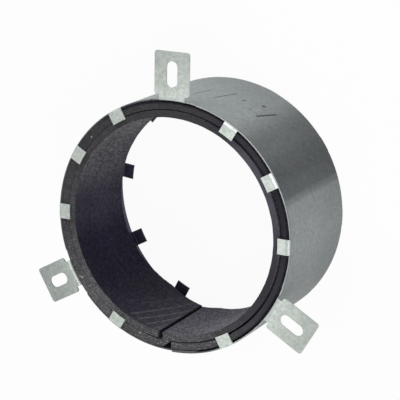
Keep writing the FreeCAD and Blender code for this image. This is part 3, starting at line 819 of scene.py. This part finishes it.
@dataclass
class SwellingStrip:
    """The strip that swells in a fire, wound in two turns. Sizes are in millimetres and degrees."""

    front_z: float = -1.5
    back_z: float = -52.5
    one_outside: float = 68.5
    one_inside: float = 64.5
    two_outside: float = 63.95
    two_inside: float = 59.95
    two_shift: float = 0.45
    start_turn: float = 270.3
    climb_mouth: float = 5.1
    end_setback: float = 7.1
    groove: float = 1.7
    step: float = 1.35
    climb_points: int = 6
    two_begins: float = 0.515
    handover: int = 8
    corner_turns: tuple[float, ...] = (0.0, 60.0, 110.0, 250.0, 262.0, 300.0, 360.0)
    corners: tuple[float, ...] = (0.85, 0.7, 0.06, 0.06, 0.35, 0.7, 0.85)
    edge_wander: float = 0.22
    cut_roughness: float = 0.16
    inner_ease: float = 0.12
    inner_ripple: float = 0.08
    inner_roughness: float = 0.05
    outer_ease: float = 0.04
    outer_roughness: float = 0.03
    pressed_gap: float = 0.16
    across_rows: int = 34
    edge_rows: int = 5
    edge_step: float = 0.8
    sharp_turn: float = 55.0
    seed: int = 7

    def outline(self) -> tuple[np.ndarray, np.ndarray]:
        """The strip's two edges seen from the wall.

        Both edges run an arc of turn one, a straight climb and an arc of turn two, whose centre lies a
        little to the side. Each stretch has the same number of points on both edges.

        Returns:
            The outer and the inner edge, as arrays of (count, 2) in millimetres, in the frame.
        """
        foot = -2 * math.degrees(math.asin(self.climb_mouth / 2 / self.one_outside))
        stop = -math.degrees(math.asin(self.end_setback / self.two_outside))
        climb = stop + math.degrees(self.groove / self.two_inside)
        over = math.degrees(math.asin(self.two_shift / self.two_outside))
        centre = np.array([0.0, -self.two_shift])

        def arc(middle: np.ndarray, radius: float, first: float, last: float, count: int) -> np.ndarray:
            """Points of an arc: its centre plus the radius times cosine and sine of evenly spaced angles."""
            angles = np.radians(np.linspace(first, last, count))
            return middle + radius * np.stack([np.cos(angles), np.sin(angles)], axis=1)

        turn_one = int(2 * math.pi * self.one_outside / self.step)
        turn_two = int(2 * math.pi * self.two_outside / self.step)
        edges = []
        for one, two, leave, land in (
            (self.one_outside, self.two_outside, foot, over),
            (self.one_inside, self.two_inside, climb, climb),
        ):
            first = arc(np.zeros(2), one, 0.0, 360.0 + leave, turn_one)
            second = arc(centre, two, land, 360.0 + stop, turn_two)
            share = np.linspace(0.0, 1.0, self.climb_points + 2)[1:-1, None]
            rise = first[-1] * (1 - share) + second[0] * share
            edges.append(np.concatenate([first, rise, second]))
        turned = math.radians(self.start_turn)
        spin = np.array([[math.cos(turned), math.sin(turned)], [-math.sin(turned), math.cos(turned)]])
        return edges[0] @ spin, edges[1] @ spin

    def section(self) -> tuple[np.ndarray, np.ndarray, np.ndarray]:
        """The strip's section as an outline of points.

        It runs down the outer side, along the back edge, up the inner side and along the front edge. A point
        has a share across the thickness (0 outside, 1 inside) and one along the width (0 front, 1 back).

        Returns:
            The shares across, the shares along, and the number of each point's side.
        """
        across, along, side = [], [], []
        down = np.linspace(0.0, 1.0, self.across_rows)
        edge = np.linspace(0.0, 1.0, self.edge_rows + 2)[1:-1]
        for which, ins, outs in (
            (Side.OUTER, np.zeros_like(down), down),
            (Side.BACK, edge, np.ones_like(edge)),
            (Side.INNER, np.ones_like(down), down[::-1]),
            (Side.FRONT, edge[::-1], np.zeros_like(edge)),
        ):
            across.append(ins)
            along.append(outs)
            side.append(np.full(len(ins), which.value))
        return np.concatenate(across), np.concatenate(along), np.concatenate(side)

    def back_edge(self, turn: np.ndarray, turn_two: np.ndarray) -> np.ndarray:
        """How far the back edge lies from its drawn place, in millimetres.

        Each turn's edge is read between measured places, which differ because the strip wasn't wound true.

        Args:
            turn: The angle around the axis in degrees, 0 to 360.
            turn_two: How much each place belongs to the inner turn, 0 to 1.

        Returns:
            The shift along Z, negative away from the wall.
        """
        inner_at = [0, 100, 145, 205, 214, 231, 241, 252, 263, 269, 276, 288, 320, 360]
        inner_z = [
            -52.2, -52.0, -52, -52.2, -53.2, -55.5, -56.6, -54, -51.6, -50.4, -53.4, -51.8, -51.6, -52.2,
        ]
        outer_at = [0, 120, 190, 222, 238, 250, 262, 275, 300, 360]
        outer_z = [-52.4, -52.2, -52.6, -55.2, -57.4, -57.6, -55.4, -53.2, -52.4, -52.4]
        inner = np.interp(turn, inner_at, inner_z)
        outer = np.interp(turn, outer_at, outer_z)
        return outer * (1 - turn_two) + inner * turn_two - self.back_z

    @staticmethod
    def waves(place: np.ndarray, lengths: Sequence[float], generator: np.random.Generator) -> np.ndarray:
        """A smooth random wave along a line: the mean of sines of given lengths with random phases.

        Args:
            place: Where along the line, in millimetres.
            lengths: The waves' lengths in millimetres.
            generator: Where the phases come from.

        Returns:
            The wave, between -1 and 1.
        """
        total = np.zeros_like(place)
        for length in lengths:
            total += np.sin(2 * np.pi * (place / length + generator.random()))
        return total / len(lengths)

    def rounded(
        self, depth: np.ndarray, z: np.ndarray, thickness: np.ndarray, turn: np.ndarray,
    ) -> tuple[np.ndarray, np.ndarray]:
        """Rounds the section's corners.

        A point within the corner's size of both edges is drawn onto the corner's quarter circle. It moves
        away from both by the share of its reach from the circle's middle that is past the radius.

        Args:
            depth: How far each point lies from the outer side.
            z: Each point's height.
            thickness: The strip's thickness at each ring.
            turn: Each ring's angle around the axis.

        Returns:
            The new depths and heights.
        """
        back = z[:, [self.across_rows - 1]]
        from_outer, from_inner = depth, thickness[:, None] - depth
        from_front, from_back = self.front_z - z, z - back
        from_side = np.minimum(from_outer, from_inner)
        from_edge = np.minimum(from_front, from_back)
        corner = np.interp(turn, self.corner_turns, self.corners)[:, None]
        reach = np.hypot(corner - from_side, corner - from_edge)
        cornered = (from_side < corner) & (from_edge < corner) & (reach > corner)
        pull = np.where(cornered, 1 - corner / np.maximum(reach, 1e-9), 0.0)
        depth = depth + np.where(from_outer > from_inner, -1.0, 1.0) * pull * (corner - from_side)
        z = z + np.where(from_front < from_back, -1.0, 1.0) * pull * (corner - from_edge)
        return depth, z

    def make(self) -> bpy.types.Object:
        """Builds the strip's mesh.

        A point is the outer edge plus its share across times the way to the inner edge, at a height that
        runs from the front to the back by its share along. Corners are rounded, the cut edges are rough and
        the broad sides ripple a little.

        Returns:
            The piece.
        """
        generator = np.random.default_rng(self.seed)
        outer, inner = self.outline()
        across, along, side = self.section()
        count, ring = len(outer), len(across)
        middle = (outer + inner) / 2
        walked = np.concatenate([[0.0], np.cumsum(np.linalg.norm(np.diff(middle, axis=0), axis=1))])
        turn = np.degrees(np.arctan2(middle[:, 1], middle[:, 0])) % 360
        thickness = np.linalg.norm(outer - inner, axis=1)
        half = int(np.argmin(np.abs(walked - walked[-1] * self.two_begins)))
        turn_two = np.clip((np.arange(count) - half + self.handover - 2) / self.handover, 0, 1)

        wander = self.edge_wander * self.waves(walked, (41, 17, 7.3, 3.9), generator)
        shift = self.back_edge(turn, turn_two) + wander
        z = self.front_z - along[None, :] * (self.front_z - self.back_z - shift[:, None])
        depth = across[None, :] * thickness[:, None]
        depth, z = self.rounded(depth, z, thickness, turn)

        # Rough cut edges: each point moves inwards, by a random amount that is smoothed between neighbours.
        rough = generator.normal(0.0, 1.0, (count, ring))
        rough = (rough + np.roll(rough, 1, axis=0) + np.roll(rough, 1, axis=1)) / 3
        on_edge = np.isin(side, (Side.FRONT.value, Side.BACK.value))[None, :]
        downwards = np.where(along[None, :] < 0.5, -1.0, 1.0)
        z = z + np.where(on_edge, np.abs(rough) * self.cut_roughness, 0.0) * downwards

        # The broad sides ripple within the room that the turns have. Where these are pressed together on the
        # left, the outer side stays smooth and the inner turn closes up to the outer one at the front.
        ripple = self.waves(walked, (63, 29, 11), generator)[:, None] * self.inner_ripple
        relief = self.inner_ease + ripple + rough * self.inner_roughness
        on_inner = (side == Side.INNER.value)[None, :]
        depth = depth - np.where(on_inner, relief, 0.0) * turn_two[:, None]
        pressed = np.interp(turn, [125, 150, 255, 264], [0, 1, 1, 0])[:, None]
        on_outer = (side == Side.OUTER.value)[None, :]
        relief = (self.outer_ease + np.abs(rough) * self.outer_roughness) * (1 - pressed)
        depth = depth + np.where(on_outer, relief, 0.0)
        closing = self.pressed_gap * pressed * turn_two[:, None]
        depth = depth - np.where(on_outer & (along[None, :] < 0.05), closing, 0.0)

        # On the left the outer turn swells out to the sheet at the front.
        swell = np.interp(turn, [92, 112, 225, 248, 260, 268], [0, 0.72, 0.70, 0.52, 0.30, 0.0])
        swell = (swell * (1 - turn_two))[:, None] * np.clip(1 - along[None, :] * 5, 0, 1)
        depth = depth - swell * np.clip(1 - across[None, :] * 2, 0, 1)

        unit = (inner - outer) / thickness[:, None]
        place = outer[:, None, :] + unit[:, None, :] * depth[:, :, None]
        points = np.concatenate([place, z[:, :, None]], axis=2) * MM
        piece = bpy.data.objects.new("wound_strip", self.skin(points, walked, side))
        bpy.context.scene.collection.objects.link(piece)
        return piece

    def skin(self, points: np.ndarray, walked: np.ndarray, side: np.ndarray) -> bpy.types.Mesh:
        """Covers rings of points with faces and closes both ends.

        Ring after ring is joined by four-sided faces. An end is closed by a ladder of faces between the
        ring's outer and inner sides, and by one face each behind its front edge and its back edge.

        Args:
            points: The points, (rings, points in a ring, 3), in metres.
            walked: How far along the strip each ring is, in millimetres.
            side: Each ring point's side.

        Returns:
            The mesh, with a map of metres along the strip, 0 at its inner end, and across it.
        """
        count, ring = points.shape[:2]
        row = np.arange(count - 1)[:, None] * ring
        here = np.arange(ring)[None, :]
        after = (here + 1) % ring
        around = np.stack([row + here, row + after, row + ring + after, row + ring + here], axis=-1)

        rows = self.across_rows
        last = (count - 1) * ring
        outer = np.arange(rows)
        inner = rows + self.edge_rows + np.arange(rows)[::-1]
        ladder = np.stack([outer[:-1], inner[:-1], inner[1:], outer[1:]], axis=-1)
        quads = np.concatenate([around.reshape(-1, 4), ladder, ladder[:, ::-1] + last])
        front = np.append(np.arange(inner[0], ring), 0)
        back = np.arange(rows - 1, rows + self.edge_rows + 1)
        caps = [front[::-1], back[::-1], last + front, last + back]

        mesh = bpy.data.meshes.new("wound_strip")
        faces = quads.tolist() + [cap.tolist() for cap in caps]
        mesh.from_pydata(points.reshape(-1, 3).tolist(), [], faces)
        mesh.update()
        row_step = (self.front_z - self.back_z) / rows
        steps = np.where(np.diff(side) == 0, row_step, self.edge_step)
        u = np.repeat(walked - walked[-1], ring) * MM
        v = np.tile(np.append(0.0, np.cumsum(steps)), count) * MM
        layer = mesh.uv_layers.new(name="along_and_across")
        vertex = np.zeros(len(mesh.loops), dtype=np.int32)
        mesh.loops.foreach_get("vertex_index", vertex)
        layer.data.foreach_set("uv", np.stack([u[vertex], v[vertex]], axis=1).astype(np.float32).ravel())
        mesh.shade_smooth()
        return mesh

    def dress(self, piece: bpy.types.Object, graphite: bpy.types.Material) -> None:
        """Gives the strip its finish and its place in the frame.

        Args:
            piece: The strip.
            graphite: Its finish.
        """
        piece.data.materials.append(graphite)
        split = piece.modifiers.new("sharp_edges", "EDGE_SPLIT")
        split.split_angle = math.radians(self.sharp_turn)
        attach(piece, "root")
        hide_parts("intumescent_strip")


# The studio


@dataclass
class Lamp:
    """A square lamp that looks at the collar, at an angle around it and a rise above it in degrees."""

    name: str
    turn: float
    rise: float
    away: float
    size: float
    power: float

    def make(self, aim: Vector) -> None:
        """Places the lamp.

        Args:
            aim: The point it looks at.
        """
        light = bpy.data.lights.new(self.name, "AREA")
        light.shape = "SQUARE"
        light.size = self.size
        light.energy = self.power
        lamp = bpy.data.objects.new(self.name, light)
        bpy.context.scene.collection.objects.link(lamp)
        flat = self.away * math.cos(math.radians(self.rise))
        lamp.location = aim + around_axis(flat, self.turn, self.away * math.sin(math.radians(self.rise)))
        lamp.rotation_euler = (aim - lamp.location).to_track_quat("-Z", "Y").to_euler()


@dataclass
class Studio:
    """The floor, the light and the camera. Sizes are in metres."""

    floor_z: float = -70.0 * MM
    floor_half: float = 6.0
    floor_grey: float = 0.8
    floor_glow: float = 0.94
    ambient: float = 0.42
    aim_z: float = -35.0 * MM
    camera_place: Colour = (0.42176, 0.263543, 0.776676)
    camera_right: Colour = (0.885088, 0.014512, -0.465197)
    camera_up: Colour = (-0.137812, 0.962864, -0.232165)
    camera_back: Colour = (0.444553, 0.269596, 0.854219)
    focal: float = 155.775
    sensor: float = 36.0
    lamps: tuple[Lamp, ...] = (
        Lamp("overhead", 10.0, 72.0, 0.7, 0.4, 1.5),
        Lamp("top_left", 118.0, 22.0, 1.3, 0.6, 7.0),
        Lamp("low_right", -38.0, 30.0, 1.0, 0.5, 3.5),
    )

    def light(self) -> None:
        """Sets the world and places the lamps.

        The camera, reflections and transmitted light see a white world. A dimmer one lights all else.
        """
        world = bpy.data.worlds.new("studio")
        bpy.context.scene.world = world
        world.use_nodes = True
        n = Nodes(world.node_tree)
        back = world.node_tree.nodes["Background"]
        back.inputs["Color"].default_value = (1.0, 1.0, 1.0, 1.0)
        n.link(n.plus(n.times(self.seen(n), 1.0 - self.ambient), self.ambient), back.inputs["Strength"])
        for lamp in self.lamps:
            lamp.make(Vector((0.0, 0.0, self.aim_z)))

    @staticmethod
    def seen(n: Nodes) -> Socket:
        """1 for rays of the camera, reflections and transmission, and 0 for the rest."""
        path = n.add("LightPath")
        return n.highest(*(path.outputs[f"Is {kind} Ray"] for kind in ("Camera", "Glossy", "Transmission")))

    def floor(self) -> bpy.types.Object:
        """Makes the floor: a flat square under the collar, nearly white by itself, that takes a soft shadow.

        Returns:
            The floor.
        """
        half, z = self.floor_half, self.floor_z
        mesh = bpy.data.meshes.new("floor")
        corners = [(-half, -half, z), (half, -half, z), (half, half, z), (-half, half, z)]
        mesh.from_pydata(corners, [], [(0, 1, 2, 3)])
        piece = bpy.data.objects.new("floor", mesh)
        bpy.context.scene.collection.objects.link(piece)

        material = bpy.data.materials.new("studio_floor")
        material.use_nodes = True
        n = Nodes(material.node_tree)
        shader = material.node_tree.nodes["Principled BSDF"]
        shader.inputs["Base Color"].default_value = (self.floor_grey, self.floor_grey, self.floor_grey, 1.0)
        shader.inputs["Roughness"].default_value = 1.0
        shader.inputs["Specular IOR Level"].default_value = 0.0
        glow = n.add("Emission", {"Color": (1.0, 1.0, 1.0)})
        share = n.times(self.seen(n), self.floor_glow)
        mix = n.add("MixShader", {0: share, 1: shader.outputs[0], 2: glow.outputs[0]})
        n.link(mix.outputs[0], material.node_tree.nodes["Material Output"].inputs["Surface"])
        mesh.materials.append(material)
        return piece

    def camera(self) -> None:
        """Sets the camera where the photograph was taken from."""
        data = bpy.data.cameras.new("photo_camera")
        data.lens = self.focal
        data.sensor_width = self.sensor
        data.sensor_fit = "HORIZONTAL"
        data.clip_start = 0.05
        data.clip_end = 50.0
        camera = bpy.data.objects.new("photo_camera", data)
        bpy.context.scene.collection.objects.link(camera)
        turn = Matrix((self.camera_right, self.camera_up, self.camera_back)).transposed()
        camera.matrix_world = Matrix.Translation(self.camera_place) @ turn.to_4x4()
        bpy.context.scene.camera = camera


def main() -> None:
    """Builds the scene in order and reports each piece."""
    logging.basicConfig(level=logging.INFO, format="%(name)s: %(message)s")
    grain, scratches = grain_group(), scratches_group()

    shell = Casing().dress(GalvanisedSteel().build(grain, scratches))
    log.info("%s dressed as galvanised sheet, %d faces", shell.name, len(shell.data.polygons))

    strip = SwellingStrip()
    wound = strip.make()
    strip.dress(wound, SwellingGraphite().build(grain))
    log.info("%s built, %d faces", wound.name, len(wound.data.polygons))

    studio = Studio()
    studio.light()
    floor = studio.floor()
    studio.camera()
    log.info("floor, %d lamps and camera placed", len(studio.lamps))

    bpy.context.scene.view_settings.view_transform = "Standard"


if __name__ == "__main__":
    main()
